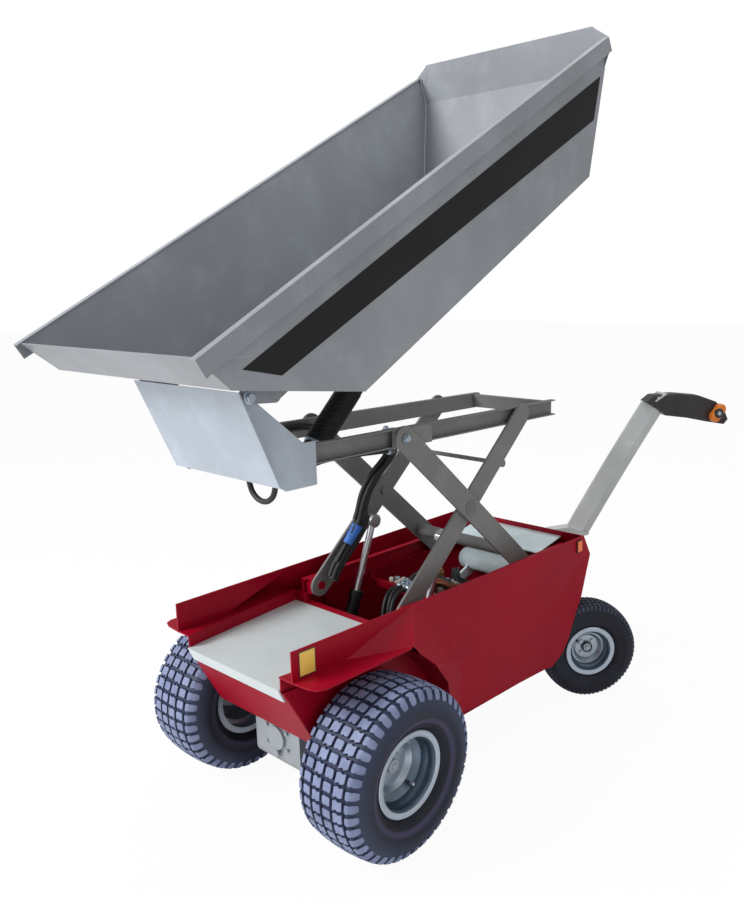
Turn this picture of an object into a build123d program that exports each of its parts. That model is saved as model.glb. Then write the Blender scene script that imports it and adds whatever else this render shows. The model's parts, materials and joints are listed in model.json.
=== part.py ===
from build123d import *
from math import atan2, cos, degrees, hypot, radians, sin
import os

os.makedirs("parts", exist_ok=True)

# Pedestrian site dumper with a scissor-lift skip: millimetres, +Z up, ground at Z = 0.
# -Y is the end that tips, +Y the tiller end, +X the machine's left. Lengths along Y are
# taken from the front axle; save() moves every piece to the stored origin.
FRONT_AXLE_Y = -663

# ---- driving sizes ----
SHEET = 4                    # chassis sheet
SKIP_SHEET = 3               # skip sheet
PIN_GAP = 0.3                # radial clearance at pins
SEAT_GAP = 0.2               # clearance where one round piece seats on another

FRONT_TYRE_R = 228.6
FRONT_TYRE_W = 216
FRONT_TRACK_X = 334
FRONT_RIM_R = 101.6
REAR_TYRE_R = 173
REAR_TYRE_W = 126
REAR_TRACK_X = 366
REAR_RIM_R = 78
BEAD_SHARE = 0.36            # half the bead width over the tyre's width
RIM_SHEET = 4
RIM_STEP = 14
WELL_DEPTH = 11              # drop centre of the rims, and its half width over the bead's
WELL_SHARE = 0.5
BOLT_R = 7
BOLT_H = 6
HUB_BORE = 19
KINGPIN_Y = 1292
STEER_REST = -39             # rear axle and tiller as parked, about Z

PLATE_FRONT_Y = -227
PLATE_REAR_Y = 1030
PLATE_TOP_Z = 593
PLATE_FRONT_X = 248.6
PLATE_REAR_X = 284.8
SHELF_Z = 515
TYRE_GAP = 15                # from the front tyres' inner side to the tub
DECK_Z = 480
DECK_FRONT_Y = -225
DECK_REAR_Y = 189
DECK_FRONT_X = 196
DECK_REAR_X = 252
DECK_SHEET = 6
BELLY_FRONT_Z = 287
BELLY_REAR_Z = 171
BELLY_STEP_Y = 130

PIN_Y = 232                  # fixed scissor pins, base and top frame
BASE_PIN_Z = 533
ARM_LENGTH = 757
LIFT_REST = 42
ARM_T = 8
ARM_W = 70
ARM_B_X = 178                # inner face of the inner arms
ARM_A_X = 191                # inner face of the outer arms
PIN_R = 12
EYE_R = PIN_R + 10           # eyes at both ends of the cylinders
ROLLER_R = 20
ROLLER_W = 17

RAIL_X = 176                 # outer edge of the top rails' flanges
RAIL_WEB_X = 156
RAIL_H = 52
RAIL_FRONT_Y = -105
RAIL_REAR_Y = 1000
RAIL_T = 4

MOTOR_Y, MOTOR_Z = 45, 215   # drive motor beside the casing, with cooling fins
MOTOR_R = 52
FIN_PITCH = 20
FIN_T = 4
FIN_H = 6

TIP_Y, TIP_Z = -283, 1206    # skip hinge
TIP_REST = 30.5              # skip as parked, tipped about its hinge
SKIP_FLOOR_X = 340           # half widths of the skip
SKIP_RIM_X = 388
SKIP_FLARE = 0.1             # how far a side leans out for each millimetre of height

LIFT_EYE_AT = 265            # rod eyes of the lift cylinders, along the inner arms from the low pin
LIFT_EYE_DROP = 10           # and below their middle line
LIFT_FOOT = (285, 300)
LIFT_X = 150
LIFT_STROKE = 100
TIP_FOOT = (45, 984)         # foot of the tip cylinder, under the top frame
TIP_STROKE = 190
LIFT_CLEVIS = 14             # half the gap of each cylinder's clevises
TIP_CLEVIS = 24
TUBE_R = 20                  # cross tube of the outer arms
TUBE_AT = 118                # along the outer arms from their rollers, and the drop below them
TUBE_DROP = 8
TIE_AT = 583                 # tie rod of the inner arms, along them from the low pin
TIE_DROP = 40

# ---- worked out from them ----
PLATE_SLOPE = (PLATE_REAR_X - PLATE_FRONT_X) / (PLATE_REAR_Y - PLATE_FRONT_Y)
ARM_DY = ARM_LENGTH * cos(radians(LIFT_REST))
ARM_DZ = ARM_LENGTH * sin(radians(LIFT_REST))
TOP_PIN_Z = BASE_PIN_Z + ARM_DZ
ROLLER_Y = PIN_Y + ARM_DY
PIVOT_Y = PIN_Y + ARM_DY / 2
PIVOT_Z = BASE_PIN_Z + ARM_DZ / 2
RAIL_Z = TOP_PIN_Z - RAIL_H / 2
FENDER_X = FRONT_TRACK_X
TUB_X = FRONT_TRACK_X - FRONT_TYRE_W / 2 - TYRE_GAP
TRACK_X = ARM_A_X + ARM_T + ROLLER_W + SHEET + 2


def plate_x(y):
    """Outer face of the left side plate at y."""
    return PLATE_FRONT_X + PLATE_SLOPE * (y - PLATE_FRONT_Y)


def save(node, *shapes):
    """Write one node, its pieces moved to the stored origin."""
    solids = [solid for shape in shapes for solid in shape.solids()]
    placed = [Pos(0, FRONT_AXLE_Y, 0) * solid for solid in solids]
    export_step(placed[0] if len(placed) == 1 else Compound(children=placed), f"parts/{node}.step")


def block(x0, x1, y0, y1, z0, z1):
    return Pos((x0 + x1) / 2, (y0 + y1) / 2, (z0 + z1) / 2) * Box(x1 - x0, y1 - y0, z1 - z0)


def side_cut(points, x0, x1):
    """Outline in (y, z), from x0 to x1."""
    face = make_face(Polyline(*points, close=True))
    return extrude(Plane.YZ.offset(x0) * face, amount=x1 - x0, dir=(1, 0, 0))


def plan_cut(points, z0, z1):
    """Outline in (x, y), from z0 to z1."""
    face = make_face(Polyline(*points, close=True))
    return extrude(Pos(0, 0, z0) * face, amount=z1 - z0, dir=(0, 0, 1))


def rod_x(y, z, radius, x0, x1):
    return Pos((x0 + x1) / 2, y, z) * Rot(0, 90, 0) * Cylinder(radius, x1 - x0)


def bar(start, end, width, x0, x1, holes=()):
    """Flat round-ended bar between two (y, z) points."""
    (y0, z0), (y1, z1) = start, end
    slot = SlotCenterToCenter(hypot(y1 - y0, z1 - z0), width)
    turned = Pos((y0 + y1) / 2, (z0 + z1) / 2) * Rot(0, 0, degrees(atan2(z1 - z0, y1 - y0))) * slot
    solid = extrude(Plane.YZ.offset(x0) * turned, amount=x1 - x0, dir=(1, 0, 0))
    for y, z, radius in holes:
        solid -= rod_x(y, z, radius, x0 - 1, x1 + 1)
    return solid


def link(start, end, radius, x=0):
    """Round rod between two (y, z) points at x."""
    (y0, z0), (y1, z1) = start, end
    turn = degrees(atan2(z1 - z0, y1 - y0))
    return Pos(x, (y0 + y1) / 2, (z0 + z1) / 2) * Rot(turn - 90, 0, 0) * Cylinder(radius, hypot(y1 - y0, z1 - z0))


def along(start, end, distance):
    """Point on the line from start to end, at that distance from start."""
    share = distance / hypot(end[0] - start[0], end[1] - start[1])
    return (start[0] + share * (end[0] - start[0]), start[1] + share * (end[1] - start[1]))


def below(start, end, distance, drop):
    """Point at that distance along an arm, dropped square to it."""
    y, z = along(start, end, distance)
    length = hypot(end[0] - start[0], end[1] - start[1])
    side = drop / length if end[0] > start[0] else -drop / length
    return (y + side * (end[1] - start[1]), z - side * (end[0] - start[0]))


def folded_sheet(points, facets, offset):
    """Bent sheet: named corners, facets as tuples of those names, thickness as one offset."""
    outer = {name: Vector(*point) for name, point in points.items()}
    inner = {name: point + Vector(*offset) for name, point in outer.items()}
    faces = []
    edges = {}
    for facet in facets:
        for second, third in zip(facet[1:], facet[2:]):
            for layer in (outer, inner):
                corners = [layer[facet[0]], layer[second], layer[third]]
                faces.append(Face(Wire.make_polygon(corners, close=True)))
        for first, second in zip(facet, facet[1:] + facet[:1]):
            key = frozenset((first, second))
            edges[key] = None if key in edges else (first, second)
    for first, second in filter(None, edges.values()):
        corners = [outer[first], outer[second], inner[second], inner[first]]
        faces.append(Face(Wire.make_polygon(corners, close=True)))
    return Solid(Shell(faces))


def both(shape):
    """Left piece and its mirror image."""
    return shape, mirror(shape, about=Plane.YZ)


def save_pair(node, shape):
    left, right = both(shape)
    save(f"{node}_left", left)
    save(f"{node}_right", right)


# ---- wheels ----
def tyre(radius, width, seat, flange):
    """Section with a crowned tread, round shoulders, bulged sidewalls and beads, turned about X."""
    half = width / 2
    shoulder = radius - 0.16 * width
    belly = flange + 0.50 * (radius - flange)
    bead = BEAD_SHARE * width
    crown = ThreePointArc((-0.80 * half, radius - 7), (0, radius), (0.80 * half, radius - 7))
    wall = ThreePointArc((0.80 * half, radius - 7), (0.95 * half, shoulder), (half, belly))
    low_wall = ThreePointArc((half, belly), (0.93 * half, (belly + flange) / 2), (bead, flange + 2))
    heel = Line((bead, flange + 2), (bead, seat))
    right = [wall, low_wall, heel]
    left = [mirror(edge, about=Plane.YZ) for edge in right]
    base = Line((bead, seat), (-bead, seat))
    return revolve(make_face([crown, *right, base, *left]), axis=Axis.X)


def rim(seat, width, flange, dish, bore, face_x):
    """Pressed rim: rolled flanges, drop-centre barrel, and a dished, bolted disc at face_x."""
    wall = RIM_SHEET
    half = BEAD_SHARE * width + SEAT_GAP
    well = WELL_SHARE * half
    low = seat - WELL_DEPTH
    right = [(well, low), (well + WELL_DEPTH / 2, seat), (half, seat), (half, flange), (half + wall, flange)]
    right += [(half + wall, seat - wall), (well + WELL_DEPTH / 2 + wall / 2, seat - wall), (well + wall / 2, low - wall)]
    left = [(-x, r) for x, r in right]
    shell = revolve(make_face(Polyline(*left[4::-1], *right, *left[:4:-1], close=True)), axis=Axis.X)
    step = face_x + RIM_STEP
    disc = [(face_x, bore), (face_x, dish), (step, dish + 12), (step, low - wall / 2)]
    disc += [(step - wall, low - wall / 2), (step - wall, dish + 12 + wall)]
    disc += [(face_x - wall, dish + wall), (face_x - wall, bore)]
    shell += revolve(make_face(Polyline(*disc, close=True)), axis=Axis.X)
    bolt = Pos(face_x, 0, 0.7 * dish) * Rot(0, 90, 0) * extrude(RegularPolygon(BOLT_R, 6), amount=BOLT_H)
    for turn in range(45, 360, 90):
        shell += Rot(turn, 0, 0) * bolt
    return shell


def wheel_pair(node, radius, width, seat, flange, dish, face_x, place):
    """Both tyres and rims of one axle; place puts a wheel turned about X at its centre."""
    rubber = tyre(radius, width, seat + SEAT_GAP, flange)
    metal = rim(seat, width, flange, dish, HUB_BORE, face_x)
    save(f"{node}_tyre_left", place(1, rubber))
    save(f"{node}_tyre_right", place(-1, rubber))
    save(f"{node}_rim_left", place(1, metal))
    save(f"{node}_rim_right", place(-1, metal))


def front_place(side, shape):
    turned = shape if side > 0 else mirror(shape, about=Plane.YZ)
    return Pos(side * FRONT_TRACK_X, 0, FRONT_TYRE_R) * turned


STEERED = Pos(0, KINGPIN_Y, 0) * Rot(0, 0, STEER_REST)


def rear_place(side, shape):
    turned = shape if side > 0 else mirror(shape, about=Plane.YZ)
    return STEERED * Pos(side * REAR_TRACK_X, 0, REAR_TYRE_R) * turned


wheel_pair("front", FRONT_TYRE_R, FRONT_TYRE_W, FRONT_RIM_R, 114, 55, 10, front_place)
wheel_pair("rear", REAR_TYRE_R, REAR_TYRE_W, REAR_RIM_R, 90, 42, 5, rear_place)

# ---- transaxle: geared motor casing with the axle tubes and hubs ----
casing = block(-95, 95, -95, 85, 140, BELLY_FRONT_Z)
casing = fillet(casing.edges().filter_by(Axis.X), 30)
motor = rod_x(MOTOR_Y, MOTOR_Z, MOTOR_R, -150, 150)
for x in range(100, 146, FIN_PITCH):
    fin = rod_x(MOTOR_Y, MOTOR_Z, MOTOR_R + FIN_H, x, x + FIN_T)
    motor += fin + mirror(fin, about=Plane.YZ)
axle = rod_x(0, FRONT_TYRE_R, 32, -FRONT_TRACK_X + 80, FRONT_TRACK_X - 80)
hub = rod_x(0, FRONT_TYRE_R, 18.9, FRONT_TRACK_X - 82, FRONT_TRACK_X + 24)
hub += rod_x(0, FRONT_TYRE_R, 45, FRONT_TRACK_X - 14, FRONT_TRACK_X + 5.8)
drain = Pos(0, -95, 180) * Rot(90, 0, 0) * extrude(RegularPolygon(14, 6), amount=10)
cover = Pos(0, -95, 225) * Rot(90, 0, 0) * Cylinder(34, 16)
bolts = [Pos(50 * cos(radians(turn)), -95, 225 + 50 * sin(radians(turn))) * Rot(90, 0, 0) * Cylinder(6, 12)
         for turn in range(30, 360, 60)]
shell = casing + motor + axle + hub + mirror(hub, about=Plane.YZ) + drain + cover
for bolt in bolts:
    shell += bolt
save("transaxle", shell)

# ---- side panels with the flared arch behind the front wheels ----
side_points = {
    "top_front": (plate_x(-227), -227, PLATE_TOP_Z),
    "top_ridge": (plate_x(190), 190, PLATE_TOP_Z),
    "top_rear": (plate_x(1030), 1030, PLATE_TOP_Z),
    "shelf_front": (plate_x(-227), -227, SHELF_Z),
    "shelf_bend": (plate_x(-60), -60, SHELF_Z),
    "arch_top": (FENDER_X, 108, SHELF_Z),
    "arch_1": (326, 139, 483),
    "arch_2": (314, 217, 417),
    "arch_3": (300, 283, 335),
    "arch_4": (284, 316, 227),
    "arch_foot": (plate_x(369), 369, 185),
    "back_1": (plate_x(300), 300, 480),
    "back_2": (plate_x(390), 390, 350),
    "fold_foot": (plate_x(808), 808, 172),
    "fold_low": (plate_x(805), 805, 352),
    "fold_high": (plate_x(980), 980, 485),
    "tail": (plate_x(1073), 1073, 517),
    "wing_1": (plate_x(1004) + 11, 1004, 376),
    "wing_2": (plate_x(968) + 12, 968, 324),
    "wing_3": (plate_x(926) + 12, 926, 241),
    "wing_4": (plate_x(900) + 9, 900, 204),
    "wing_foot": (plate_x(847) + 4, 847, 171),
}
side_facets = [
    ("top_front", "top_ridge", "shelf_bend", "shelf_front"),
    ("shelf_bend", "top_ridge", "arch_top"),
    ("arch_top", "top_ridge", "back_1"),
    ("arch_1", "arch_top", "back_1"),
    ("arch_2", "arch_1", "back_1"),
    ("arch_2", "back_1", "back_2"),
    ("arch_3", "arch_2", "back_2"),
    ("arch_4", "arch_3", "back_2"),
    ("arch_foot", "arch_4", "back_2"),
    ("back_1", "top_ridge", "top_rear", "tail", "fold_high", "fold_low", "fold_foot", "arch_foot",
     "back_2"),
    ("fold_foot", "fold_low", "wing_4", "wing_foot"),
    ("fold_low", "wing_2", "wing_3", "wing_4"),
    ("fold_low", "fold_high", "wing_1", "wing_2"),
    ("fold_high", "tail", "wing_1"),
]
save_pair("side_panel", folded_sheet(side_points, side_facets, (-SHEET, 0, 0)))

# ---- wheel arches: shelf, riser beside the deck, tub wall and the wall behind the wheel ----
shelf = plan_cut([(DECK_FRONT_X, -227), (plate_x(-227), -227), (300, -223), (324, -214),
                  (FENDER_X, -196), (FENDER_X, 100), (258, 189), (252, 189)],
                 SHELF_Z - SHEET, SHELF_Z)
riser = plan_cut([(DECK_FRONT_X, DECK_FRONT_Y), (DECK_FRONT_X + SHEET, DECK_FRONT_Y),
                  (DECK_REAR_X + SHEET, DECK_REAR_Y), (DECK_REAR_X, DECK_REAR_Y)],
                 DECK_Z - DECK_SHEET, SHELF_Z - SHEET)
save_pair("fender_shelf", shelf + riser)

ARCH_NAMES = ("arch_1", "arch_2", "arch_3", "arch_4", "arch_foot")
arch_line = [side_points[name][1:] for name in ARCH_NAMES]
tub_top = DECK_Z - DECK_SHEET
inner = TUB_X - SHEET
tub_outline = [(-223, tub_top), (148, tub_top), *arch_line[1:], (369, BELLY_REAR_Z + SHEET),
               (BELLY_STEP_Y + 20, BELLY_REAR_Z + SHEET), (BELLY_STEP_Y, BELLY_FRONT_Z),
               (-128, BELLY_FRONT_Z)]
save_pair("tub_wall", side_cut(tub_outline, inner, TUB_X))

arch_points = {"arch_0": (315, 151, tub_top - 2), "tub_arch_0": (TUB_X, 151, tub_top - 2)}
for name in ARCH_NAMES[1:]:
    x, y, z = side_points[name]
    arch_points[name] = (x - SHEET - 3, y + 1, z)
    arch_points["tub_" + name] = (TUB_X, y + 1, z)
wall_names = ("arch_0",) + ARCH_NAMES[1:]
arch_facets = [(first, second, "tub_" + second, "tub_" + first)
               for first, second in zip(wall_names, wall_names[1:])]
save_pair("arch_wall", folded_sheet(arch_points, arch_facets, (0, SHEET, 0)))

# ---- tub: front plate, deck plate, belly pan, rear panel and rear cover ----
front_plate = side_cut([(-223, 470), (-223 + SHEET, 470), (-128 + SHEET, BELLY_FRONT_Z),
                        (-128, BELLY_FRONT_Z)], -inner, inner)
save("front_plate", front_plate)

deck = plan_cut([(-DECK_FRONT_X, DECK_FRONT_Y), (DECK_FRONT_X, DECK_FRONT_Y),
                 (DECK_REAR_X, DECK_REAR_Y), (-DECK_REAR_X, DECK_REAR_Y)], tub_top, DECK_Z)
lip = side_cut([(DECK_FRONT_Y - 6, DECK_Z), (DECK_FRONT_Y, DECK_Z), (DECK_FRONT_Y + 2, 470),
                (-128 + 82 - 163, 442), (-128 + 82 - 169, 442)], -DECK_FRONT_X, DECK_FRONT_X)
save("deck_plate", deck + lip)

between_plates = plan_cut([(SHEET - plate_x(-227), -227), (plate_x(-227) - SHEET, -227),
                           (plate_x(1090) - SHEET, 1090), (SHEET - plate_x(1090), 1090)], 100, 700)
pan_front = side_cut([(-128 + SHEET, BELLY_FRONT_Z), (BELLY_STEP_Y, BELLY_FRONT_Z),
                      (BELLY_STEP_Y + 20, BELLY_REAR_Z), (369, BELLY_REAR_Z),
                      (369, BELLY_REAR_Z + SHEET), (BELLY_STEP_Y + 20 + SHEET, BELLY_REAR_Z + SHEET),
                      (BELLY_STEP_Y + SHEET, BELLY_FRONT_Z + SHEET),
                      (-128 + SHEET, BELLY_FRONT_Z + SHEET)], -inner, inner)
pan_rear = between_plates & block(-400, 400, 369, 847, BELLY_REAR_Z + 2, BELLY_REAR_Z + 2 + SHEET)
save("belly_pan", pan_front + pan_rear)

rear_panel = between_plates & side_cut([(1030, PLATE_TOP_Z), (1073, 517), (885, 352), (865, BELLY_REAR_Z),
                                        (861, BELLY_REAR_Z), (881, 354), (1067, 517),
                                        (1026, PLATE_TOP_Z)], -400, 400)
save("rear_panel", rear_panel)

COVER_X = ARM_A_X - 5
save("rear_cover", side_cut([(894, 545), (1036.6, 572), (1036.6, 569), (894, 542)], -COVER_X, COVER_X))

# ---- heavy masses in the tub: battery box, and the power pack in its two cradle plates on it ----
BATTERY_TOP_Z = 400
PACK_Y, PACK_Z = 885, 468
PACK_R = 38
save("battery_block", block(-150, 150, 560, 800, BELLY_REAR_Z + 2 + SHEET, BATTERY_TOP_Z))
pack = rod_x(PACK_Y, PACK_Z, PACK_R, -130, 130) + rod_x(PACK_Y, PACK_Z, PACK_R - 8, -140, 140)
cradle = [(720, BATTERY_TOP_Z), (800, BATTERY_TOP_Z), (PACK_Y + 20, PACK_Z - PACK_R - 8),
          (PACK_Y + 30, PACK_Z), (PACK_Y - 30, PACK_Z), (PACK_Y - 40, PACK_Z - 20)]
for x in (-100, 92):
    pack += side_cut(cradle, x, x + 8)
save("power_pack", pack)

# ---- scissor base: channel tracks for the lower rollers, front pin lugs and cross members ----
track_z0 = BASE_PIN_Z - ROLLER_R - 1 - SHEET
track_z1 = BASE_PIN_Z + ROLLER_R + 1 + SHEET
track = block(TRACK_X - 19, TRACK_X, PIN_Y - 40, 1010, track_z0, track_z1)
track -= block(TRACK_X - 20, TRACK_X - SHEET, PIN_Y - 41, 1011, track_z0 + SHEET, track_z1 - SHEET)
track += block(ARM_B_X + ARM_T + 2, TRACK_X - 10, PIN_Y - 30, PIN_Y + 30, track_z0, track_z1)
track += rod_x(PIN_Y, BASE_PIN_Z, PIN_R, ARM_B_X - 6, ARM_B_X + ARM_T + 4)
save_pair("roller_track", track)

members = []
for y in (PIN_Y - 40, 470, 985):
    member = block(-400, 400, y, y + 20, track_z0 - 45, track_z0 - 25)
    member += block(TRACK_X - 17, 400, y, y + 20, track_z0 - 45, track_z0)
    member += block(-400, 17 - TRACK_X, y, y + 20, track_z0 - 45, track_z0)
    members.append(between_plates & member)
save("base_cross_members", *members)

# ---- scissor arms ----
low_b, high_b = (PIN_Y, BASE_PIN_Z), (ROLLER_Y, TOP_PIN_Z)
low_a, high_a = (ROLLER_Y, BASE_PIN_Z), (PIN_Y, TOP_PIN_Z)
pivot = (PIVOT_Y, PIVOT_Z)
hole = PIN_R + PIN_GAP
arm_b = bar(low_b, high_b, ARM_W, ARM_B_X, ARM_B_X + ARM_T, [(*low_b, hole), (*pivot, hole)])
arm_b += rod_x(*high_b, PIN_R, RAIL_WEB_X + RAIL_T + 2, ARM_B_X)
arm_b += rod_x(*high_b, ROLLER_R, RAIL_WEB_X + RAIL_T + 2, RAIL_X - 1)
LIFT_EYE = below(low_b, high_b, LIFT_EYE_AT, LIFT_EYE_DROP)
tie_root = along(low_b, high_b, TIE_AT)
tie = below(low_b, high_b, TIE_AT, TIE_DROP)
arm_b += rod_x(*LIFT_EYE, EYE_R - 4, LIFT_X + LIFT_CLEVIS, ARM_B_X)
save_pair("inner_arm", arm_b + bar(tie_root, tie, 24, ARM_B_X, ARM_B_X + ARM_T))
save("scissor_tie_rod", rod_x(*tie, 7, -ARM_B_X, ARM_B_X))

arm_a = bar(low_a, high_a, ARM_W, ARM_A_X, ARM_A_X + ARM_T, [(*high_a, hole)])
arm_a += rod_x(*pivot, PIN_R, ARM_B_X - 8, ARM_A_X)
arm_a += rod_x(*low_a, ROLLER_R, ARM_A_X + ARM_T, TRACK_X - SHEET - 2)
save_pair("outer_arm", arm_a)
save("outer_cross_tube", rod_x(*below(low_a, high_a, TUBE_AT, TUBE_DROP), TUBE_R, -ARM_A_X, ARM_A_X))

# ---- top frame: channel rails, cross members, skip carrier ----
rail = block(RAIL_WEB_X, RAIL_X, RAIL_FRONT_Y, RAIL_REAR_Y, RAIL_Z, RAIL_Z + RAIL_H)
rail -= block(RAIL_WEB_X + RAIL_T, RAIL_X + 1, RAIL_FRONT_Y - 1, RAIL_REAR_Y + 1,
              RAIL_Z + RAIL_T, RAIL_Z + RAIL_H - RAIL_T)
rail += block(RAIL_X, ARM_A_X - 3, PIN_Y - 30, PIN_Y + 120, RAIL_Z, RAIL_Z + RAIL_H)
rail += rod_x(PIN_Y, TOP_PIN_Z, PIN_R, ARM_A_X - 4, ARM_A_X + ARM_T + 6)
save_pair("top_rail", rail)

cross = block(-RAIL_WEB_X, RAIL_WEB_X, 960, 987, RAIL_Z + RAIL_T, RAIL_Z + RAIL_H - RAIL_T)
foot_y = TIP_FOOT[0] - 50
foot_cross = block(-RAIL_WEB_X, RAIL_WEB_X, foot_y, foot_y + 35, RAIL_Z, RAIL_Z + 25)
for x in (-TIP_CLEVIS - 8, TIP_CLEVIS):
    foot_cross += bar((foot_y + 18, RAIL_Z + 10), TIP_FOOT, 24, x, x + 8)
save("top_cross_members", cross, foot_cross)

carrier = side_cut([(-211, 985), (-207, 985), (-307, 1219), (-311, 1219)], -218, 218)
save("carrier_plate", carrier)
cheek = side_cut([(-203, 985), (-184, 972), (-90, 972), (-90, 1080), (-127, 1080), (-262, 1196),
                  (-292, 1196)], 200, 206)
cheek += block(RAIL_WEB_X, 200, -150, RAIL_FRONT_Y, RAIL_Z, RAIL_Z + RAIL_H)
cheek += rod_x(TIP_Y, TIP_Z, 18, 200, 206) + rod_x(TIP_Y, TIP_Z, PIN_R, 206, 218)
cheek -= side_cut([(-400, 960), (-200, 960), (-306.5, 1219), (-400, 1219)], 190, 220) & block(190, 206, -400, -200, 960, 1219)
save_pair("carrier_bracket", cheek)


# ---- cylinders ----
def cylinder(foot, eye, stroke, barrel_length, barrel_r, rod_r, x, clevis):
    """Barrel with a foot eye, and rod drawn out by its stroke, between two (y, z) pins."""
    half = clevis - SEAT_GAP
    bore_foot = EYE_R + 10
    neck = along(foot, eye, barrel_length)
    barrel = link(along(foot, eye, bore_foot - 4), neck, barrel_r, x)
    barrel += link(along(foot, eye, PIN_R + 4), along(foot, eye, bore_foot - 2), PIN_R, x)
    barrel += link(neck, along(foot, eye, barrel_length - 16), barrel_r + 3, x)
    barrel += rod_x(*foot, EYE_R, x - half, x + half)
    barrel -= link(along(foot, eye, bore_foot), along(foot, eye, barrel_length + 1), rod_r + PIN_GAP, x)
    barrel -= rod_x(*foot, PIN_R + PIN_GAP, x - clevis, x + clevis)
    ram = link(along(foot, eye, bore_foot + 2 + stroke), eye, rod_r, x)
    return barrel, ram + rod_x(*eye, EYE_R, x - half, x + half)


def tipped(shape):
    """A piece of the skip, drawn level about its hinge, as parked."""
    return Pos(0, TIP_Y, TIP_Z) * Rot(TIP_REST, 0, 0) * shape


def tipped_point(y, z):
    turn = radians(TIP_REST)
    return (TIP_Y + y * cos(turn) - z * sin(turn), TIP_Z + y * sin(turn) + z * cos(turn))


EYE_LEVEL = (634, -230)
TIP_EYE = tipped_point(*EYE_LEVEL)
lift_barrel, lift_rod = cylinder(LIFT_FOOT, LIFT_EYE, LIFT_STROKE, 195, 20, 11, LIFT_X, LIFT_CLEVIS)
save_pair("lift_cylinder_barrel", lift_barrel)
save_pair("lift_cylinder_rod", lift_rod)
tip_barrel, tip_rod = cylinder(TIP_FOOT, TIP_EYE, TIP_STROKE, 266, 31, 18, 0, TIP_CLEVIS)
save("tip_cylinder_barrel", tip_barrel)
save("tip_cylinder_rod", tip_rod)
lift_bracket = rod_x(*LIFT_FOOT, PIN_R, LIFT_X - 27, LIFT_X + 27)
lug_line = [(LIFT_FOOT[0] - 40, BELLY_REAR_Z + SHEET), (LIFT_FOOT[0] + 40, BELLY_REAR_Z + SHEET),
            (LIFT_FOOT[0] + EYE_R, LIFT_FOOT[1] + 8), (LIFT_FOOT[0] + 10, LIFT_FOOT[1] + EYE_R),
            (LIFT_FOOT[0] - 10, LIFT_FOOT[1] + EYE_R), (LIFT_FOOT[0] - EYE_R, LIFT_FOOT[1] + 8)]
for x in (LIFT_X - LIFT_CLEVIS - 8, LIFT_X + LIFT_CLEVIS):
    lift_bracket += side_cut(lug_line, x, x + 8)
save_pair("lift_cylinder_bracket", lift_bracket)

# ---- skip, drawn level, (y, z) from its hinge ----
SKIP_FLOOR_Z = -120
SKIP_RIM_Z = 212
LIP = (-140, SKIP_RIM_Z - 4)
BROW = (-104, 107)
KINK = (203, SKIP_FLOOR_Z)
HEEL = (1325, SKIP_FLOOR_Z)
TAIL = (1513, 132)
CREST = (1552, 246)


def skip_x(z):
    return SKIP_FLOOR_X + SKIP_FLARE * (z - SKIP_FLOOR_Z)


def across(y, z, shrink=0):
    x = skip_x(z) - shrink
    return (x, y, z), (-x, y, z)


def skip_panel(line, offset, shrink=0):
    """Folded panel across the skip, through the (y, z) points of line."""
    points, facets = {}, []
    for index, (y, z) in enumerate(line):
        points[f"l{index}"], points[f"r{index}"] = across(y, z, shrink)
        if index:
            facets.append((f"l{index - 1}", f"l{index}", f"r{index}", f"r{index - 1}"))
    return tipped(folded_sheet(points, facets, offset))


floor_line = [LIP, BROW, KINK, (HEEL[0] - SKIP_SHEET, HEEL[1])]
save("skip_floor", skip_panel(floor_line, (0, 0, SKIP_SHEET), SKIP_SHEET + 0.1))
back_points = {"a": (skip_x(-120) - 3, *HEEL), "b": (skip_x(132) - 3, *TAIL), "c": (334, *CREST),
               "d": (-334, *CREST), "e": (3 - skip_x(132), *TAIL), "f": (3 - skip_x(-120), *HEEL)}
back = folded_sheet(back_points, [("a", "b", "e", "f"), ("b", "c", "d", "e")], (0, -SKIP_SHEET, 0))
save("skip_back", tipped(back))
end_y = TAIL[0] - 6
side_line = [(LIP[0] - 0.3, LIP[1]), BROW, KINK, HEEL, TAIL, (TAIL[0] + 12, SKIP_RIM_Z - 3), (LIP[0], SKIP_RIM_Z - 3)]
side_skip = {f"p{index}": (skip_x(z), y, z) for index, (y, z) in enumerate(side_line)}
side = folded_sheet(side_skip, [tuple(side_skip)], (-SKIP_SHEET, 0, 0))
rim_top = block(skip_x(SKIP_RIM_Z) - 6, SKIP_RIM_X, LIP[0] - 10, end_y, SKIP_RIM_Z - SKIP_SHEET, SKIP_RIM_Z)
rim_side = block(SKIP_RIM_X - SKIP_SHEET, SKIP_RIM_X, LIP[0] - 10, end_y, SKIP_RIM_Z - 42, SKIP_RIM_Z)
save_pair("skip_side", tipped(side + rim_top + rim_side))

def nose_z(y):
    """Underside of the sloping nose at y."""
    return KINK[1] + (KINK[0] - y) * (BROW[1] - KINK[1]) / (KINK[0] - BROW[0]) - SEAT_GAP


skip_lugs = []
for x in (209, -217):
    lug = bar((0, 0), (60, -40), 30, x, x + 8)
    lug += side_cut([(-6, 0), (-6, nose_z(-6)), (110, nose_z(110)), (60, -53)], x, x + 8)
    skip_lugs.append(tipped(lug - rod_x(0, 0, hole, x - 1, x + 9)))
for x in (-TIP_CLEVIS - 8, TIP_CLEVIS):
    lug = rod_x(*EYE_LEVEL, 20, x, x + 8)
    lug += side_cut([(614, -230), (654, -230), (700, SKIP_FLOOR_Z), (614, SKIP_FLOOR_Z)], x, x + 8)
    skip_lugs.append(tipped(lug))
save("skip_lugs", *skip_lugs)

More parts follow.
